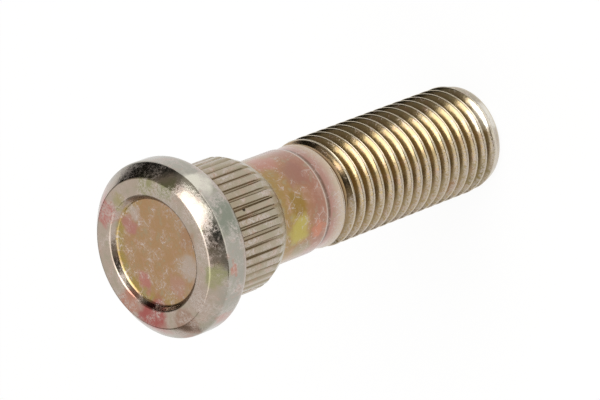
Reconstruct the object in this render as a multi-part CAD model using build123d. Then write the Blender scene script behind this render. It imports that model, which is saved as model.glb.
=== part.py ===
import os
from math import radians, tan

from build123d import *

# A press-in wheel stud, cold-headed from one steel wire: a round head with a shallow recess, a serrated
# collar that bites into the hub, a plain shank and a threaded end. It stands on its threaded end, with the
# origin at the centre of that end and the head up.

# Overall
overall_length = 48.0

# Head
head_diameter = 18.7
head_height = 4.9
face_diameter = 15.9
front_chamfer_height = 1.4
back_edge_radius = 1.6
back_edge_share = 0.9
face_edge_radius = 0.3
rim_edge_radius = 0.4
recess_diameter = 12.2
recess_depth = 0.65
recess_wall_angle = 32.0
recess_lip_radius = 0.25

# Serrated collar
collar_diameter = 14.5
collar_length = 6.4
collar_cone_length = 1.5
collar_cone_angle = 24.0
serration_count = 42
serration_depth = 0.32
serration_root_width = 0.18
serration_angle = 60.0
serration_turn = 5.27

# Shank
shank_diameter = 11.45
shank_fillet_radius = 0.8
shank_shoulder_length = 0.6

# Threaded end, as the plain round of its M12 x 1.5 thread's crests
thread_diameter = 11.85
full_thread_length = 24.0
crest_taper_length = 2.3
neck_undercut = 0.36
neck_length = 1.0
tip_chamfer_length = 1.6
tip_chamfer_angle = 15.0
tip_edge_chamfer = 0.25

# How far the serration tool stands past the collar that it cuts
cut_margin = 0.1

# Levels above the threaded end
seat_level = overall_length - head_height
collar_end_level = seat_level - collar_length
cone_end_level = collar_end_level - collar_cone_length
neck_start_level = full_thread_length + crest_taper_length
neck_end_level = neck_start_level + neck_length
shank_start_level = neck_end_level + shank_shoulder_length
rim_level = overall_length - front_chamfer_height
recess_level = overall_length - recess_depth

# Radii of the turned profile
head_radius = head_diameter / 2
face_radius = face_diameter / 2
recess_radius = recess_diameter / 2
recess_floor_radius = recess_radius - recess_depth * tan(radians(recess_wall_angle))
collar_radius = collar_diameter / 2
cone_end_radius = collar_radius - collar_cone_length * tan(radians(collar_cone_angle))
shank_radius = shank_diameter / 2
thread_radius = thread_diameter / 2
neck_radius = thread_radius - neck_undercut


def rounded(profile, corner, radius):
    """The profile with the corner nearest to the given point rounded."""
    return fillet(profile.vertices().sort_by_distance(corner)[0], radius)


def turned_blank():
    """The stud before its serrations are rolled in, turned from its half profile."""
    tip_slope = tan(radians(tip_chamfer_angle))
    tip_edge_radius = thread_radius - (tip_chamfer_length - tip_edge_chamfer) * tip_slope
    shank_end = (shank_radius, cone_end_level - (cone_end_radius - shank_radius))
    overhang = head_radius - collar_radius
    back_edge = (head_radius, seat_level)
    rim = (head_radius, rim_level)
    face_edge = (face_radius, overall_length)
    recess_lip = (recess_radius, overall_length)
    outline = Polyline(
        (0, 0),
        (tip_edge_radius - tip_edge_chamfer, 0),
        (tip_edge_radius, tip_edge_chamfer),
        (thread_radius, tip_chamfer_length),
        (thread_radius, full_thread_length),
        (neck_radius, neck_start_level),
        (neck_radius, neck_end_level),
        (shank_radius, shank_start_level),
        shank_end,
        (cone_end_radius, cone_end_level),
        (collar_radius, collar_end_level),
        (collar_radius, seat_level),
        back_edge,
        rim,
        face_edge,
        recess_lip,
        (recess_floor_radius, recess_level),
        (0, recess_level),
        close=True,
    )
    profile = make_face(outline)
    profile = rounded(profile, shank_end, shank_fillet_radius)
    profile = rounded(profile, back_edge, min(back_edge_radius, back_edge_share * overhang))
    profile = rounded(profile, rim, rim_edge_radius)
    profile = rounded(profile, face_edge, face_edge_radius)
    profile = rounded(profile, recess_lip, recess_lip_radius)
    return revolve(Plane.XZ * profile, Axis.Z)


def serration_cutters():
    """The straight V grooves between the collar's teeth, from the head's seat out through the cone."""
    root_radius = collar_radius - serration_depth
    top_radius = collar_radius + cut_margin
    half_root = serration_root_width / 2
    half_top = half_root + (top_radius - root_radius) * tan(radians(serration_angle / 2))
    section = Polyline(
        (root_radius, -half_root),
        (root_radius, half_root),
        (top_radius, half_top),
        (top_radius, -half_top),
        close=True,
    )
    groove = extrude(Pos(0, 0, cone_end_level) * make_face(section), seat_level - cone_end_level)
    return Rot(0, 0, serration_turn) * PolarLocations(0, serration_count) * groove


wheel_stud = turned_blank() - serration_cutters()

os.makedirs("parts", exist_ok=True)
export_step(wheel_stud, "parts/wheel_stud.step")
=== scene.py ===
from math import asin, atan2, pi, radians, tan

import bpy
import numpy as np
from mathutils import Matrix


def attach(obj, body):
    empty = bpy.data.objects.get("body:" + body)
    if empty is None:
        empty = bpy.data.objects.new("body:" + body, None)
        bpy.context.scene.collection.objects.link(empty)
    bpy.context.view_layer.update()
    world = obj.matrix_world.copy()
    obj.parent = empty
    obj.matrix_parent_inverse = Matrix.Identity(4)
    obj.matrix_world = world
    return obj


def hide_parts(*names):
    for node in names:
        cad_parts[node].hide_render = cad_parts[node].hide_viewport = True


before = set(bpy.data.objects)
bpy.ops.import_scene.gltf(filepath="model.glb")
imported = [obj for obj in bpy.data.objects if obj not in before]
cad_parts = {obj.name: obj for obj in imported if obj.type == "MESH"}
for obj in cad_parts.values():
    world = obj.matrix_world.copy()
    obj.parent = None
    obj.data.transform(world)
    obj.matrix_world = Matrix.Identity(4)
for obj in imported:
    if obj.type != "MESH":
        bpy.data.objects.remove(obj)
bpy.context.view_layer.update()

# The stud is one piece of steel wire, cold-headed, with straight serrations and a thread rolled into it.
# It is zinc plated and yellow passivated, so it has thin iridescent tints under the scuffs of bulk packing.
# It is turned from a half profile, its collar is notched, and a helical grid gives the thread.
mm = 0.001
overall = 48.0
seat = 43.1
collar_end = 36.7
cone_end = 35.2
collar_radius = 7.25
collar_slope = tan(radians(24))
shank_radius = 5.725
thread_radius = 5.925
neck_radius = 5.565
pitch = 1.5
teeth = 42
columns = 8 * teeth
thread_columns = 4 * teeth


def select_points(mesh_object, wanted):
    """Selects, in edit mode, the points whose place in millimetres passes the test."""
    bpy.ops.object.mode_set(mode="OBJECT")
    mesh = mesh_object.data
    for part in (mesh.vertices, mesh.edges, mesh.polygons):
        part.foreach_set("select", [False] * len(part))
    for point in mesh.vertices:
        point.select = bool(wanted(*(point.co / mm)))
    bpy.ops.object.mode_set(mode="EDIT")


def profile_chain(name, points):
    """A wire object that runs through the points of a half profile, given as radius and height."""
    bpy.ops.mesh.primitive_plane_add(size=mm)
    chain = bpy.context.object
    chain.name = name
    bpy.ops.object.mode_set(mode="EDIT")
    bpy.ops.mesh.select_all(action="SELECT")
    bpy.ops.mesh.merge(type="CENTER")
    bpy.ops.transform.translate(value=(points[0][0] * mm, 0, points[0][1] * mm))
    for (r0, z0), (r1, z1) in zip(points, points[1:]):
        step = ((r1 - r0) * mm, 0, (z1 - z0) * mm)
        bpy.ops.mesh.extrude_vertices_move(TRANSFORM_OT_translate={"value": step})
    bpy.ops.object.mode_set(mode="OBJECT")
    return chain


def round_corner(chain, corner, offset, segments):
    """Rounds one corner of a profile, starting at the offset from it."""
    select_points(chain, lambda x, y, z: abs(x - corner[0]) + abs(z - corner[1]) < 0.01)
    bpy.ops.mesh.bevel(offset=offset * mm, offset_type="OFFSET", segments=segments, affect="VERTICES")
    bpy.ops.object.mode_set(mode="OBJECT")


recess_level = 47.35
recess_floor = (5.694, recess_level)
recess_lip = (6.1, overall)
face_edge = (7.95, overall)
rim = (9.35, 46.6)
back_edge = (9.35, seat)
cone_edge = (collar_radius - (collar_end - cone_end) * collar_slope, cone_end)
shank_end = (shank_radius, 34.343)
collar_rows = [(collar_radius, z) for z in np.linspace(seat, collar_end, 9)]
cone_rows = [(collar_radius - (collar_end - z) * collar_slope, z) for z in np.linspace(36.6, 35.3, 14)]
shank_edge = (shank_radius, 27.9)
neck_edge = (5.59, 27.66)
neck_ring = 27.0
head_points = [(0, recess_level), recess_floor, recess_lip, face_edge, rim, back_edge]
shank_points = [cone_edge, shank_end, shank_edge, neck_edge, (neck_radius, 27.3), (neck_radius, neck_ring)]
stud = profile_chain("wheel_stud_body", head_points + collar_rows + cone_rows + shank_points)
round_corner(stud, recess_floor, 0.2, 3)
round_corner(stud, recess_lip, 0.15, 3)
round_corner(stud, face_edge, 0.12, 3)
round_corner(stud, rim, 0.16, 3)
round_corner(stud, back_edge, 1.6, 8)
round_corner(stud, cone_edge, 0.25, 3)
round_corner(stud, shank_end, 0.33, 5)
round_corner(stud, shank_edge, 0.08, 2)
round_corner(stud, neck_edge, 0.08, 2)
tip_ring = 0.3
tip_edge = (5.56, 0.25)
tip_foot = (5.313, 0)
tip = profile_chain("tip_profile", [(5.57, tip_ring), tip_edge, tip_foot, (0, 0)])
round_corner(tip, tip_edge, 0.03, 2)
round_corner(tip, tip_foot, 0.08, 2)
bpy.ops.object.select_all(action="DESELECT")
tip.select_set(True)
stud.select_set(True)
bpy.context.view_layer.objects.active = stud
bpy.ops.object.join()
bpy.ops.object.mode_set(mode="EDIT")
bpy.ops.mesh.select_all(action="SELECT")
bpy.ops.mesh.spin(steps=columns, angle=2 * pi, center=(0, 0, 0), axis=(0, 0, 1))
bpy.ops.mesh.select_all(action="SELECT")
bpy.ops.mesh.remove_doubles(threshold=0.0005 * mm)
bpy.ops.object.mode_set(mode="OBJECT")

# The serrations: every tooth has eight columns, moved to its land, its two edges and the groove's foot
column_place = (-0.5, -0.415, -0.275, -0.22, 0.0, 0.22, 0.275, 0.415)
column_depth = (1.0, 0.96, 0.13, 0.0, 0.0, 0.0, 0.13, 0.96)
serration_depth = 0.32
tooth_step = 2 * pi / teeth
first_land = radians(0.98)
count = len(stud.data.vertices)
place = np.empty(count * 3)
stud.data.vertices.foreach_get("co", place)
place = place.reshape(-1, 3) / mm
radius = np.hypot(place[:, 0], place[:, 1])
turn = np.arctan2(place[:, 1], place[:, 0]) % (2 * pi)
column = np.rint(turn / (2 * pi) * columns).astype(int) % columns
tooth = column // 8
land = first_land + tooth * tooth_step
wear = np.sin(tooth * 2.4) + np.sin(tooth * 5.1 + 1.0)
sway = 0.035 * np.sin(tooth * 3.7 + place[:, 2] * 0.25)
turn = land + (np.array(column_place)[column % 8] + sway) * tooth_step
hollow = np.array(column_depth)[column % 8] * (1 + 0.06 * wear)
groove_radius = collar_radius - serration_depth * hollow - 0.012 * (1 + wear)
on_collar = (place[:, 2] < seat + 0.001) & (place[:, 2] > 35.0) & (radius < collar_radius + 0.001)
radius = np.where(on_collar, np.minimum(radius, groove_radius), radius)
place = np.stack([radius * np.cos(turn), radius * np.sin(turn), place[:, 2]], axis=1)
stud.data.vertices.foreach_set("co", (place * mm).ravel())
hollow = np.where(on_collar, hollow, 0.0)
stud.data.attributes.new("hollow", "FLOAT", "POINT").data.foreach_set("value", hollow)

# The thread: a line of points is screwed up by one pitch, and each point then goes in by the groove's depth
section_place = (0.0, 0.022, 0.06, 0.09, 0.125, 0.25, 0.375, 0.415, 0.455, 0.5)
section_depth = (0.05, 0.0, 0.012, 0.05, 0.13, 0.5, 0.87, 0.955, 0.99, 1.0)
groove_depth = 0.85
crest_height = 0.33
whole = list(section_place) + [1 - x for x in section_place[-2:0:-1]]
line = [crest_height + (k + x) * pitch for k in range(-2, 20) for x in whole]
thread = profile_chain("thread", [(thread_radius, z) for z in line])
screw = thread.modifiers.new("turns", "SCREW")
screw.axis = "Z"
screw.angle = 2 * pi
screw.screw_offset = pitch * mm
screw.steps = thread_columns
screw.render_steps = thread_columns
bpy.ops.object.modifier_apply(modifier="turns")
bpy.ops.object.mode_set(mode="EDIT")
bpy.ops.mesh.select_all(action="SELECT")
bpy.ops.mesh.remove_doubles(threshold=0.0005 * mm)
bpy.ops.object.mode_set(mode="OBJECT")
count = len(thread.data.vertices)
place = np.empty(count * 3)
thread.data.vertices.foreach_get("co", place)
place = place.reshape(-1, 3) / mm
turn = np.arctan2(place[:, 1], place[:, 0]) % (2 * pi)
height = place[:, 2]
phase = ((height - crest_height) / pitch - turn / (2 * pi)) % 1
groove_height = height - (phase - 0.5) * pitch
depth = np.interp(np.minimum(phase, 1 - phase), section_place, section_depth)
full = np.interp(groove_height, (0.5, 2.0, 23.6, 26.0), (0, 1, 1, 0))
outer = np.interp(height, (0.0, 1.6, 24.0, 26.3), (5.496, thread_radius, thread_radius, neck_radius))
radius = outer - groove_depth * full * depth
place = np.stack([radius * np.cos(turn), radius * np.sin(turn), height], axis=1)
thread.data.vertices.foreach_set("co", (place * mm).ravel())
thread.data.attributes.new("hollow", "FLOAT", "POINT").data.foreach_set("value", depth * full)

# The grid is cut level at the neck and near the tip, and bridged to the turned rings there
neck_cut = 26.8
tip_cut = 0.45
for level, keep_below in ((neck_cut, True), (tip_cut, False)):
    bpy.ops.object.mode_set(mode="EDIT")
    bpy.ops.mesh.select_all(action="SELECT")
    bpy.ops.mesh.bisect(plane_co=(0, 0, level * mm), plane_no=(0, 0, 1), threshold=0.0001 * mm,
                        clear_outer=keep_below, clear_inner=not keep_below)
    bpy.ops.object.mode_set(mode="OBJECT")
bpy.ops.object.select_all(action="DESELECT")
thread.select_set(True)
stud.select_set(True)
bpy.context.view_layer.objects.active = stud
bpy.ops.object.join()
for ring, cut in ((neck_ring, neck_cut), (tip_ring, tip_cut)):
    select_points(stud, lambda x, y, z: min(abs(z - ring), abs(z - cut)) < 0.0005)
    bpy.ops.mesh.bridge_edge_loops()
bpy.ops.mesh.select_all(action="SELECT")
bpy.ops.mesh.normals_make_consistent(inside=False)
bpy.ops.object.mode_set(mode="OBJECT")
bpy.ops.object.shade_smooth_by_angle(angle=radians(32))
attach(stud, "root")
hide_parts("wheel_stud")


def linear(code):
    """A colour written as an sRGB hex code, in the linear values that the shaders use."""
    parts = [int(code[i:i + 2], 16) / 255 for i in (1, 3, 5)]
    return tuple(c / 12.92 if c <= 0.04045 else ((c + 0.055) / 1.055) ** 2.4 for c in parts) + (1.0,)


def add(tree, kind, inputs=None, output=0, stops=(), **settings):
    """Adds a node with its settings, colour stops and input values or links, and returns an output of it."""
    node = tree.nodes.new(kind)
    for name, value in settings.items():
        setattr(node, name, value)
    for socket, value in (inputs or {}).items():
        if isinstance(value, bpy.types.NodeSocket):
            tree.links.new(value, node.inputs[socket])
        else:
            node.inputs[socket].default_value = value
    if stops:
        elements = node.color_ramp.elements
        while len(elements) < len(stops):
            elements.new(0.5)
        for element, (position, code) in zip(elements, stops):
            element.position = position
            element.color = linear(code)
    return node.outputs[output]


# Zinc plating with a yellow passivation: a metal whose thin film shifts between silver, gold, pink and
# olive, bright where the film is whole and frosty where it is scuffed. Its patterns are measured in
# millimetres. The nodes it uses most are a soft step between two limits, a product and a mix of colours.
soft_step = {"kind": "ShaderNodeMapRange", "interpolation_type": "SMOOTHSTEP"}
times = {"kind": "ShaderNodeMath", "operation": "MULTIPLY"}
mix = {"kind": "ShaderNodeMix", "data_type": "RGBA", "output": 2}
plating = bpy.data.materials.new("zinc_plated_steel")
plating.use_nodes = True
tree = plating.node_tree
shader = tree.nodes["Principled BSDF"]
shader.inputs["Metallic"].default_value = 1.0
spot = add(tree, "ShaderNodeTexCoord", output="Object")
spot = add(tree, "ShaderNodeVectorMath", {0: spot, "Scale": 1 / mm}, operation="SCALE")
axes = add(tree, "ShaderNodeSeparateXYZ", {0: spot}).node.outputs
across = add(tree, "ShaderNodeVectorMath", {0: spot, 1: (1, 1, 0)}, operation="MULTIPLY")
reach = add(tree, "ShaderNodeVectorMath", {0: across}, "Value", operation="LENGTH")
along = add(tree, "ShaderNodeMath", {0: axes["Z"], 1: overall}, operation="DIVIDE")

# The film's tint along the stud, from the tip to the face, as shares of its length. The near-white ring at
# the shank's end edge is a painted highlight, and the dark line at the foot of the small step just below it
# is painted shade
tint = add(tree, "ShaderNodeValToRGB", {0: along}, stops=[
    (0.0, "#B4AEA2"), (0.05, "#AC9A74"), (0.5, "#A9936A"), (0.552, "#B08A7E"), (0.5675, "#AA8276"),
    (0.5712, "#684C3E"), (0.5745, "#77594A"), (0.578, "#A08A7C"), (0.5808, "#DCCFC2"), (0.584, "#A47A68"),
    (0.61, "#A27562"), (0.66, "#A37F55"), (0.71, "#9F8352"), (0.735, "#8E7D52"), (0.77, "#ABA08D"),
    (0.893, "#A0917A"), (0.905, "#A78B7A"), (0.93, "#A3A096"), (0.972, "#A7A399"), (0.99, "#B5A79A"),
])

# The recess is copper brown, with an olive gold edge on its far side
inside_lip = add(tree, inputs={0: reach, 1: 5.9, 2: 5.6}, **soft_step)
on_head = add(tree, inputs={0: axes["Z"], 1: 46.0, 2: 46.5}, **soft_step)
in_recess = add(tree, inputs={0: inside_lip, 1: on_head}, **times)
tint = add(tree, inputs={0: in_recess, 6: tint, 7: linear("#AE8C68")}, **mix)
near_wall = add(tree, inputs={0: reach, 1: 4.3, 2: 5.3}, **soft_step)
far_side = add(tree, inputs={0: axes["Y"], 1: -1.0, 2: 2.5}, **soft_step)
gold_edge = add(tree, inputs={0: in_recess, 1: near_wall}, **times)
gold_edge = add(tree, inputs={0: gold_edge, 1: far_side}, **times)
gold_edge = add(tree, inputs={0: gold_edge, 1: 0.8}, **times)
tint = add(tree, inputs={0: gold_edge, 6: tint, 7: linear("#A5914E")}, **mix)

# Fine mottling of the film, about a millimetre across, between a warm and a cool tint
mottle = add(tree, "ShaderNodeTexNoise", {"Vector": spot, "Scale": 1.1, "Detail": 4.0, "Roughness": 0.6})
warm = add(tree, inputs={0: mottle, 1: 0.5, 2: 0.72, 3: 0.0, 4: 0.45}, **soft_step)
cool = add(tree, inputs={0: mottle, 1: 0.48, 2: 0.3, 3: 0.0, 4: 0.45}, **soft_step)
tint = add(tree, inputs={0: warm, 6: tint, 7: linear("#B98F7C")}, **mix)
tint = add(tree, inputs={0: cool, 6: tint, 7: linear("#A3A08A")}, **mix)

# Clouds where the film is thicker or thinner, and a few that are painted highlights and painted shade, with
# ragged edges: centre and reach in mm, colour and strength
ragged = (2.6, 2.6, 2.6)
wander = add(tree, "ShaderNodeTexNoise", {"Vector": spot, "Scale": 0.7, "Detail": 3.0}, "Color")
wander = add(tree, "ShaderNodeVectorMath", {0: wander, 1: (0.5, 0.5, 0.5)}, operation="SUBTRACT")
loose_spot = add(tree, "ShaderNodeVectorMath", {0: wander, 1: ragged, 2: spot}, operation="MULTIPLY_ADD")
film_and_painted_light_clouds = [
    # Face
    ((5.9, 4.6, 48), 2.1, "#B97C76", 0.95), ((6.9, -2.6, 48), 1.8, "#98966F", 0.9),
    ((5.5, -5.1, 48), 1.7, "#929470", 0.9), ((6.3, 2.0, 48), 1.2, "#A89E74", 0.8),
    ((-6.1, 3.4, 48), 2.6, "#A9625E", 1.0), ((-3.9, 6.0, 48), 1.9, "#B7816F", 0.85),
    ((-8.0, -0.7, 47.8), 2.0, "#A08070", 0.8), ((-5.8, -4.0, 48), 2.2, "#AF9B90", 0.6),
    # Recess floor
    ((3.7, 2.7, 47.4), 1.5, "#B47C7A", 0.75), ((4.8, 1.1, 47.4), 1.1, "#BFB1AE", 0.6),
    ((-2.5, -3.6, 47.4), 1.9, "#BFB4AE", 0.6), ((-2.4, 3.3, 47.4), 1.3, "#B87C74", 0.9),
    ((0.2, -5.2, 47.4), 1.7, "#A98467", 0.8), ((-3.9, -1.2, 47.4), 1.5, "#B58C7C", 0.8),
    # Rim and chamfer
    ((-8.6, -3.6, 45.2), 1.7, "#B5867A", 0.8), ((-9.2, 1.0, 45.6), 1.8, "#AE8C80", 0.7),
    ((8.0, 4.8, 46.2), 1.9, "#B99488", 0.7), ((-4.2, -8.2, 46.0), 0.9, "#B5806F", 0.9),
    # The grey-green cloud on the rim's front is partly the film's colour and partly a painted dark
    # reflection; the near-white cloud beside it is a painted highlight
    ((0.6, -9.3, 45.0), 2.8, "#83887A", 0.9), ((5.1, -7.8, 45.8), 1.9, "#DEDACB", 0.95),
    ((-4.2, -7.2, 47.6), 1.7, "#9B9B70", 0.8),
    # Shank
    ((4.7, -3.2, 32.3), 2.1, "#B47E72", 0.8),
    ((2.5, -5.1, 30.6), 2.3, "#9A7063", 0.8), ((-0.6, -5.7, 32.0), 1.7, "#937538", 0.9),
    ((-2.9, -4.9, 32.2), 2.1, "#B5A65A", 0.95), ((-3.6, -4.4, 29.2), 1.3, "#C08066", 0.9),
    ((-5.1, -2.7, 31.1), 1.6, "#978867", 0.8),
    # Thread
    # The dark olive cloud low on the thread is partly the film's colour and partly painted shade
    ((-4.9, -3.3, 3.1), 2.4, "#88794C", 0.9),
    # The near-white cloud by the tip is a painted highlight
    ((-4.9, -3.3, 7.4), 1.8, "#A57F60", 0.7), ((1.3, -5.6, 1.4), 2.4, "#EAE6DC", 0.95),
]
for centre, size, code, strength in film_and_painted_light_clouds:
    far = add(tree, "ShaderNodeVectorMath", {0: loose_spot, 1: centre}, "Value", operation="DISTANCE")
    cover = add(tree, inputs={0: far, 1: size, 2: size * 0.45, 3: 0.0, 4: strength}, **soft_step)
    tint = add(tree, inputs={0: cover, 6: tint, 7: linear(code)}, **mix)

# Frosty scuffs from bulk packing, in patches and fine strokes. How much there is changes along the stud.
# It is half as much in the recess. On the thread it is heavier on the side away from the main lamp, which is
# painted reflection of the white table laid over the real scuffs.
patches = add(tree, "ShaderNodeTexNoise", {"Vector": spot, "Scale": 0.55, "Detail": 5.0, "Roughness": 0.65})
grains = add(tree, "ShaderNodeTexNoise", {"Vector": spot, "Scale": 3.5, "Detail": 4.0, "Roughness": 0.75})
scores = add(tree, "ShaderNodeTexVoronoi", {"Vector": spot, "Scale": 1.1}, feature="DISTANCE_TO_EDGE")
amount = add(tree, "ShaderNodeValToRGB", {0: along}, stops=[
    (0.0, "#B0B0B0"), (0.06, "#E0E0E0"), (0.53, "#D0D0D0"), (0.565, "#606060"), (0.72, "#686868"),
    (0.77, "#D0D0D0"), (0.93, "#C0C0C0"), (0.985, "#D8D8D8"), (1.0, "#DCDCDC"),
])
recess_share = add(tree, inputs={0: in_recess, 1: 0.0, 2: 1.0, 3: 1.0, 4: 0.5}, **soft_step)
amount = add(tree, inputs={0: amount, 1: recess_share}, **times)
on_thread = add(tree, inputs={0: axes["Z"], 1: 27.0, 2: 25.0}, **soft_step)
# The thread's side away from the main lamp: more frost there is painted reflection
low_side = add(tree, inputs={0: axes["X"], 1: 0.5, 2: -3.0}, **soft_step)
lamp_side = add(tree, "ShaderNodeMath", {0: on_thread, 1: low_side}, operation="SUBTRACT")
lamp_share = add(tree, inputs={0: lamp_side, 1: 0.0, 2: 1.0, 3: 1.0, 4: 0.2}, **soft_step)
amount = add(tree, inputs={0: amount, 1: lamp_share}, **times)
low_thread = add(tree, inputs={0: on_thread, 1: low_side}, **times)
spread = add(tree, "ShaderNodeMath", {0: low_thread, 1: 0.16, 2: patches}, operation="MULTIPLY_ADD")
patch = add(tree, inputs={0: spread, 1: 0.42, 2: 0.62}, **soft_step)
grain = add(tree, inputs={0: grains, 1: 0.38, 2: 0.58}, **soft_step)
frost_and_painted_reflection = add(tree, inputs={0: patch, 1: grain}, **times)
frost_and_painted_reflection = add(tree, inputs={0: frost_and_painted_reflection, 1: amount}, **times)
stroke = add(tree, inputs={0: scores, 1: 0.08, 2: 0.02}, **soft_step)
stroke_patch = add(tree, inputs={0: spread, 1: 0.47, 2: 0.57}, **soft_step)
stroke_grain = add(tree, inputs={0: grains, 1: 0.4, 2: 0.55}, **soft_step)
stroke_share = add(tree, inputs={0: amount, 1: 0.0, 2: 0.3, 3: 0.45, 4: 0.8}, **soft_step)
stroke = add(tree, inputs={0: stroke, 1: stroke_patch}, **times)
stroke = add(tree, inputs={0: stroke, 1: stroke_grain}, **times)
stroke = add(tree, inputs={0: stroke, 1: stroke_share}, **times)
frost_and_painted_reflection = add(tree, "ShaderNodeMath", {0: frost_and_painted_reflection, 1: stroke}, operation="MAXIMUM")
hollow = add(tree, "ShaderNodeAttribute", output="Fac", attribute_name="hollow")
out_of_groove = add(tree, inputs={0: hollow, 1: 0.2, 2: 0.62, 3: 1.0, 4: 0.12}, **soft_step)
frost_and_painted_reflection = add(tree, inputs={0: frost_and_painted_reflection, 1: out_of_groove}, **times)

# Brown mixed into the grooves, more the deeper they are; pale crests on the thread, partly rubbed wear and
# partly a painted highlight; the frost with its painted reflection; and one small pit on the collar
groove = add(tree, inputs={0: hollow, 1: 0.06, 2: 0.75}, **soft_step)
groove_brown_share = add(tree, inputs={0: axes["Z"], 1: 27.0, 2: 34.0, 3: 0.5, 4: 0.3}, **soft_step)
groove_brown = add(tree, inputs={0: groove, 1: groove_brown_share}, **times)
tint = add(tree, inputs={0: groove_brown, 6: tint, 7: linear("#665027")}, **mix)
# Pale crests: partly rubbed wear, partly a painted highlight
pale_crest_and_painted_highlight = add(tree, inputs={0: hollow, 1: 0.1, 2: 0.02}, **soft_step)
pale_crest_and_painted_highlight = add(tree, inputs={0: pale_crest_and_painted_highlight, 1: on_thread}, **times)
pale_crest_and_painted_highlight = add(tree, inputs={0: pale_crest_and_painted_highlight, 1: 0.7}, **times)
tint = add(tree, inputs={0: pale_crest_and_painted_highlight, 6: tint, 7: linear("#D6CBB6")}, **mix)
tint = add(tree, inputs={0: frost_and_painted_reflection, 6: tint, 7: linear("#CBC1BA")}, **mix)
pit_centre = (0.9, -7.2, 40.7)
pit = add(tree, "ShaderNodeVectorMath", {0: spot, 1: pit_centre}, "Value", operation="DISTANCE")
pit = add(tree, inputs={0: pit, 1: 0.26, 2: 0.14, 3: 0.0, 4: 0.95}, **soft_step)
tint = add(tree, inputs={0: pit, 6: tint, 7: linear("#2A2118")}, **mix)
tree.links.new(tint, shader.inputs["Base Color"])

# Smooth where the film is whole, dull where it is scuffed, and slightly dimpled all over
gloss = add(tree, "ShaderNodeMath", {0: frost_and_painted_reflection, 1: 0.3, 2: 0.18}, operation="MULTIPLY_ADD")
tree.links.new(gloss, shader.inputs["Roughness"])
dimples = add(tree, "ShaderNodeTexNoise", {"Vector": spot, "Scale": 1.6, "Detail": 4.0, "Roughness": 0.6})
relief = add(tree, "ShaderNodeBump", {"Height": dimples, "Strength": 0.35, "Distance": 0.04 * mm})
tree.links.new(relief, shader.inputs["Normal"])
stud.data.materials.clear()
stud.data.materials.append(plating)

# The floor is a white painted table top, far wider than the view. It shows white to the camera and in the
# plating, and keeps a little of the stud's shadow.
bpy.ops.mesh.primitive_plane_add(size=40)
floor = bpy.context.object
floor.name = "floor"
table_top = bpy.data.materials.new("white_table")
table_top.use_nodes = True
table_tree = table_top.node_tree
paint = table_tree.nodes["Principled BSDF"]
paint.inputs["Base Color"].default_value = linear("#FFFFFF")
paint.inputs["Roughness"].default_value = 0.8
ray = add(table_tree, "ShaderNodeLightPath").node.outputs
seen = add(table_tree, "ShaderNodeMath", {0: ray["Is Camera Ray"], 1: ray["Is Glossy Ray"]},
           operation="MAXIMUM")
seen = add(table_tree, "ShaderNodeMath", {0: seen, 1: ray["Is Transmission Ray"]}, operation="MAXIMUM")
share = add(table_tree, inputs={0: seen, 1: 0.92}, **times)
glow = add(table_tree, "ShaderNodeEmission", {"Color": linear("#FFFFFF"), "Strength": 1.0})
surface = add(table_tree, "ShaderNodeMixShader", {0: share, 1: paint.outputs["BSDF"], 2: glow})
table_tree.links.new(surface, table_tree.nodes["Material Output"].inputs["Surface"])
floor.data.materials.append(table_top)

# The room is dim and grey, so that the plating shows the soft boxes and the table against it
scene = bpy.context.scene
room = bpy.data.worlds.new("room")
scene.world = room
room.use_nodes = True
room.node_tree.nodes["Background"].inputs["Color"].default_value = linear("#8A847B")


def place_toward(thing, toward, distance):
    """Puts a lamp or card at a distance in a direction from the stud's middle, turned to face it."""
    aim = np.array(toward) / np.linalg.norm(toward)
    thing.location = tuple(aim * distance + np.array((0, 0, overall / 2 * mm)))
    thing.rotation_euler = (pi / 2 - asin(aim[2]), 0, atan2(aim[0], -aim[1]))
    thing.visible_camera = False


# Soft boxes round the stud: name, direction, distance, width and height in metres, and radiance
for name, toward, distance, width, height, radiance in (
    ("soft_box_main", (0.35, -0.35, 0.87), 0.45, 0.3, 0.34, 3.3),
    ("soft_box_top", (-0.12, 0.02, 1.0), 0.5, 0.5, 0.5, 1.4),
    ("soft_box_behind", (0.0, 0.74, 0.67), 0.45, 0.28, 0.28, 0.62),
    ("soft_box_low", (0.15, -1.0, 0.14), 0.5, 0.9, 0.34, 1.1),
    ("soft_box_side", (-0.85, 0.05, 0.47), 0.5, 0.72, 0.52, 0.62),
):
    bpy.ops.object.light_add(type="AREA")
    lamp = bpy.context.object
    lamp.name = name
    lamp.data.shape = "RECTANGLE"
    lamp.data.size = width
    lamp.data.size_y = height
    lamp.data.energy = radiance * pi * width * height
    place_toward(lamp, toward, distance)

# Cards of black felt, which the head's chamfer shows as its dark parts: name, direction, distance and size
black_felt = bpy.data.materials.new("black_felt")
black_felt.use_nodes = True
felt = black_felt.node_tree.nodes["Principled BSDF"]
felt.inputs["Base Color"].default_value = linear("#0A0A09")
felt.inputs["Roughness"].default_value = 1.0
for name, toward, distance, width, height in (
    ("flag_side", (0.85, 0.4, 0.22), 0.55, 0.7, 0.32),
    ("flag_camera", (-0.08, -0.74, 0.67), 0.6, 0.22, 0.22),
):
    bpy.ops.mesh.primitive_plane_add(size=1)
    flag = bpy.context.object
    flag.name = name
    flag.scale = (width, height, 1)
    flag.visible_shadow = False
    flag.data.materials.append(black_felt)
    place_toward(flag, toward, distance)

# The camera is a long lens about half a metre away, rolled so that the stud lies across the picture
bpy.ops.object.camera_add(location=(-0.000235, -0.354941, 0.364061),
                          rotation=(radians(-20.537), radians(42.573), radians(-118.975)))
camera = bpy.context.object
camera.data.lens = 281.4
camera.data.sensor_width = 36
camera.data.clip_start = 0.01
scene.camera = camera
scene.view_settings.view_transform = "Standard"
